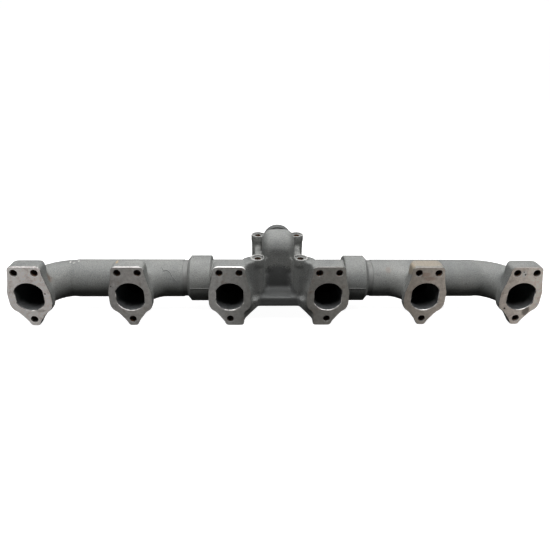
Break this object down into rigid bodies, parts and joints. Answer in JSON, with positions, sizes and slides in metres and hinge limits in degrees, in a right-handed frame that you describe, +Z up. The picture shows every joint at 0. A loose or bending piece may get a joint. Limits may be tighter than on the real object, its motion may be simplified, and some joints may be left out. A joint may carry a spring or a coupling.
{
  "type": "exhaust manifold",
  "caption": "Sectional cast-iron exhaust manifold for an in-line six: middle casting with turbocharger flange, two slip-jointed end castings and their split sealing rings.",
  "frame": {"origin": "on the cylinder-head joint plane, midway between the two middle ports, at the height of the port centres", "axes": "+X along the engine, +Y away from the cylinder head (the port faces look along -Y), +Z up, towards the upper flange bolts"},
  "size_m": [0.897, 0.1375, 0.146],
  "materials": {
    "cast_iron": "as-cast, sand texture",
    "ring_steel": "ground, heat-stained"
  },
  "bodies": {
    "center": {"center_section": "cast_iron"},
    "left_rings": {"left_seal_ring_1": "ring_steel", "left_seal_ring_2": "ring_steel", "left_seal_ring_3": "ring_steel"},
    "left_end": {"left_end_section": "cast_iron"},
    "right_rings": {"right_seal_ring_1": "ring_steel", "right_seal_ring_2": "ring_steel", "right_seal_ring_3": "ring_steel"},
    "right_end": {"right_end_section": "cast_iron"}
  },
  "joints": [
    {"name": "left_slip", "type": "slide", "parent": "center", "child": "left_rings", "axis": [-1, 0, 0], "range_m": [-0.0027, 0.045]},
    {"name": "left_swivel", "type": "hinge", "parent": "left_rings", "child": "left_end", "pos_m": [-0.137, 0.07, 0], "axis": [1, 0, 0], "continuous": true},
    {"name": "right_slip", "type": "slide", "parent": "center", "child": "right_rings", "axis": [1, 0, 0], "range_m": [-0.0027, 0.045]},
    {"name": "right_swivel", "type": "hinge", "parent": "right_rings", "child": "right_end", "pos_m": [0.137, 0.07, 0], "axis": [1, 0, 0], "continuous": true}
  ]
}
